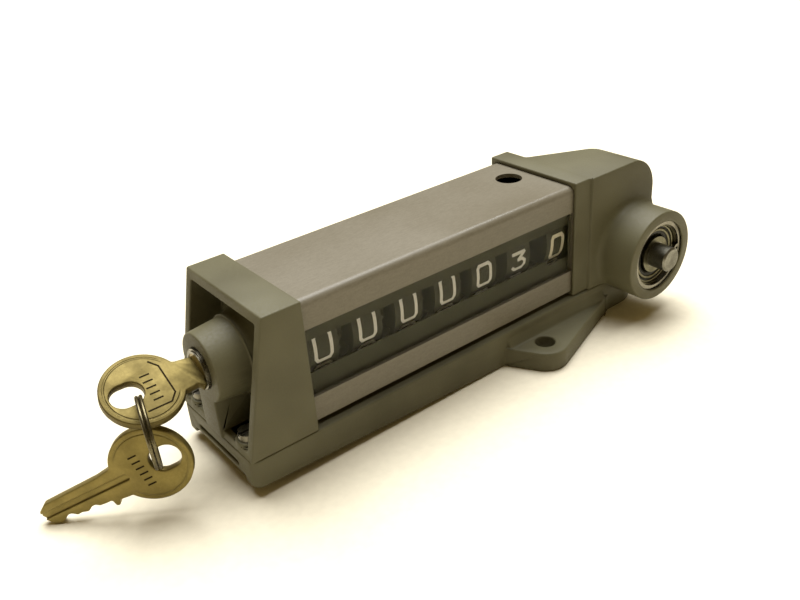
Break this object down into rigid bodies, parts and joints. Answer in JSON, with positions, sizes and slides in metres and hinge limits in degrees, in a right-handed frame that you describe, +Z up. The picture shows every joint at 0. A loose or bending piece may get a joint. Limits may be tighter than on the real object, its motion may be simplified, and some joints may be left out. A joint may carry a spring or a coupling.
{
  "type": "key-reset totalizing counter",
  "caption": "Long box-shaped mechanical totalizing counter with a side window over number wheels, a key lock in a hood at one end and a right-angle ball-bearing shaft drive at the other.",
  "frame": {"origin": "midway between the two ear holes, on the mounting face", "axes": "+X along the body towards the drive end, -Y towards the window side, +Z up"},
  "size_m": [0.1954, 0.0652, 0.0477],
  "materials": {
    "enamel": "hammered grey-olive enamel over a zinc casting, semi-matte",
    "cover_enamel": "smooth grey-beige enamel over folded steel sheet, satin",
    "window": "clear acrylic strip, slightly smoked, glossy",
    "mask": "dark matte paint on thin sheet",
    "bright_steel": "bright nickel plating",
    "steel": "turned and ground steel, lightly oiled",
    "brass": "worn yellow brass with dull tarnish",
    "wheel_black": "black moulded plastic with light figures"
  },
  "bodies": {
    "counter_frame": {"base_casting": "enamel", "hood_casting": "enamel", "drive_housing": "enamel", "housing_cover": "enamel", "cover_sheet": "cover_enamel", "window_pane": "window", "mask_plate": "mask", "lock_barrel": "bright_steel", "hood_screws": "bright_steel", "housing_screws": "bright_steel", "side_cover_screws": "bright_steel", "lock_end_plate": "steel", "drive_end_plate": "steel", "plate_screws": "bright_steel", "pinion_shaft": "steel", "outer_bearing_ring": "steel", "outer_bearing_shield": "mask", "bearing_clip": "bright_steel", "inner_bearing_ring": "steel", "layshaft_bush": "brass"},
    "drive": {"drive_shaft": "steel", "outer_bearing_race": "steel", "inner_bearing_race": "steel", "drive_bevel": "steel"},
    "outer_balls": {"outer_bearing_balls": "steel"},
    "inner_balls": {"inner_bearing_balls": "steel"},
    "lay": {"layshaft": "steel", "layshaft_bevel": "steel", "layshaft_gear": "brass"},
    "wheel_1": {"number_wheel_1": "wheel_black", "reset_pawl_1": "brass"},
    "wheel_2": {"number_wheel_2": "wheel_black", "reset_pawl_2": "brass"},
    "wheel_3": {"number_wheel_3": "wheel_black", "reset_pawl_3": "brass"},
    "wheel_4": {"number_wheel_4": "wheel_black", "reset_pawl_4": "brass"},
    "wheel_5": {"number_wheel_5": "wheel_black", "reset_pawl_5": "brass"},
    "wheel_6": {"number_wheel_6": "wheel_black", "reset_pawl_6": "brass"},
    "wheel_units": {"units_wheel": "wheel_black", "reset_pawl_7": "brass"},
    "pinion_1": {"carry_pinion_1": "steel"},
    "pinion_2": {"carry_pinion_2": "steel"},
    "pinion_3": {"carry_pinion_3": "steel"},
    "pinion_4": {"carry_pinion_4": "steel"},
    "pinion_5": {"carry_pinion_5": "steel"},
    "pinion_6": {"carry_pinion_6": "steel"},
    "lock": {"lock_plug": "brass", "reset_shaft": "steel"},
    "key": {"key_in_lock": "brass"},
    "ring": {"key_ring": "bright_steel"},
    "spare": {"spare_key": "brass"}
  },
  "joints": [
    {"name": "drive_shaft_spin", "type": "hinge", "parent": "counter_frame", "child": "drive", "pos_m": [0.0437, -0.0244, 0.0203], "axis": [0, 1, 0], "continuous": true},
    {"name": "outer_balls_roll", "type": "hinge", "parent": "counter_frame", "child": "outer_balls", "pos_m": [0.0437, -0.0251, 0.0203], "axis": [0, 1, 0], "continuous": true},
    {"name": "inner_balls_roll", "type": "hinge", "parent": "counter_frame", "child": "inner_balls", "pos_m": [0.0437, -0.0186, 0.0203], "axis": [0, 1, 0], "continuous": true},
    {"name": "layshaft_spin", "type": "hinge", "parent": "counter_frame", "child": "lay", "pos_m": [0.026, -0.008, 0.0203], "axis": [1, 0, 0], "continuous": true},
    {"name": "units_wheel_spin", "type": "hinge", "parent": "counter_frame", "child": "wheel_units", "pos_m": [0.01582, 0, 0.03], "axis": [1, 0, 0], "continuous": true},
    {"name": "number_wheel_6_spin", "type": "hinge", "parent": "counter_frame", "child": "wheel_6", "pos_m": [-0.00045, 0, 0.03], "axis": [1, 0, 0], "continuous": true},
    {"name": "number_wheel_5_spin", "type": "hinge", "parent": "counter_frame", "child": "wheel_5", "pos_m": [-0.01402, 0, 0.03], "axis": [1, 0, 0], "continuous": true},
    {"name": "number_wheel_4_spin", "type": "hinge", "parent": "counter_frame", "child": "wheel_4", "pos_m": [-0.02759, 0, 0.03], "axis": [1, 0, 0], "continuous": true},
    {"name": "number_wheel_3_spin", "type": "hinge", "parent": "counter_frame", "child": "wheel_3", "pos_m": [-0.04116, 0, 0.03], "axis": [1, 0, 0], "continuous": true},
    {"name": "number_wheel_2_spin", "type": "hinge", "parent": "counter_frame", "child": "wheel_2", "pos_m": [-0.05473, 0, 0.03], "axis": [1, 0, 0], "continuous": true},
    {"name": "number_wheel_1_spin", "type": "hinge", "parent": "counter_frame", "child": "wheel_1", "pos_m": [-0.0683, 0, 0.03], "axis": [1, 0, 0], "continuous": true},
    {"name": "carry_pinion_6_spin", "type": "hinge", "parent": "counter_frame", "child": "pinion_6", "pos_m": [0.00635, 0.0052, 0.01572], "axis": [1, 0, 0], "continuous": true},
    {"name": "carry_pinion_5_spin", "type": "hinge", "parent": "counter_frame", "child": "pinion_5", "pos_m": [-0.00722, 0.0052, 0.01572], "axis": [1, 0, 0], "continuous": true},
    {"name": "carry_pinion_4_spin", "type": "hinge", "parent": "counter_frame", "child": "pinion_4", "pos_m": [-0.02079, 0.0052, 0.01572], "axis": [1, 0, 0], "continuous": true},
    {"name": "carry_pinion_3_spin", "type": "hinge", "parent": "counter_frame", "child": "pinion_3", "pos_m": [-0.03436, 0.0052, 0.01572], "axis": [1, 0, 0], "continuous": true},
    {"name": "carry_pinion_2_spin", "type": "hinge", "parent": "counter_frame", "child": "pinion_2", "pos_m": [-0.04793, 0.0052, 0.01572], "axis": [1, 0, 0], "continuous": true},
    {"name": "carry_pinion_1_spin", "type": "hinge", "parent": "counter_frame", "child": "pinion_1", "pos_m": [-0.0615, 0.0052, 0.01572], "axis": [1, 0, 0], "continuous": true},
    {"name": "key_turn", "type": "hinge", "parent": "counter_frame", "child": "lock", "pos_m": [-0.095, 0, 0.03], "axis": [1, 0, 0], "range_deg": [0, 360]},
    {"name": "key_slide", "type": "slide", "parent": "lock", "child": "key", "axis": [-1, 0, 0], "range_m": [0, 0.02]},
    {"name": "ring_swing", "type": "hinge", "parent": "key", "child": "ring", "pos_m": [-0.1125, -0.0034, 0.0305], "axis": [1, 0, 0], "range_deg": [-8, 6]},
    {"name": "spare_key_swing", "type": "hinge", "parent": "ring", "child": "spare", "pos_m": [-0.1125, -0.00684, 0.01536], "axis": [0.2429, 0.9626, -0.12], "range_deg": [-8, 14]}
  ],
  "couplings": [
    {"joint": "outer_balls_roll", "follows": "drive_shaft_spin", "ratio": 0.368},
    {"joint": "inner_balls_roll", "follows": "drive_shaft_spin", "ratio": 0.4},
    {"joint": "layshaft_spin", "follows": "drive_shaft_spin", "ratio": -1},
    {"joint": "units_wheel_spin", "follows": "drive_shaft_spin", "ratio": 1},
    {"joint": "number_wheel_6_spin", "follows": "drive_shaft_spin", "ratio": 0.1},
    {"joint": "number_wheel_5_spin", "follows": "drive_shaft_spin", "ratio": 0.01},
    {"joint": "number_wheel_4_spin", "follows": "drive_shaft_spin", "ratio": 0.001},
    {"joint": "number_wheel_3_spin", "follows": "drive_shaft_spin", "ratio": 0.0001},
    {"joint": "number_wheel_2_spin", "follows": "drive_shaft_spin", "ratio": 0.00001},
    {"joint": "number_wheel_1_spin", "follows": "drive_shaft_spin", "ratio": 0.000001},
    {"joint": "carry_pinion_6_spin", "follows": "drive_shaft_spin", "ratio": -0.25},
    {"joint": "carry_pinion_5_spin", "follows": "drive_shaft_spin", "ratio": -0.025},
    {"joint": "carry_pinion_4_spin", "follows": "drive_shaft_spin", "ratio": -0.0025},
    {"joint": "carry_pinion_3_spin", "follows": "drive_shaft_spin", "ratio": -0.00025},
    {"joint": "carry_pinion_2_spin", "follows": "drive_shaft_spin", "ratio": -0.000025},
    {"joint": "carry_pinion_1_spin", "follows": "drive_shaft_spin", "ratio": -0.0000025}
  ]
}
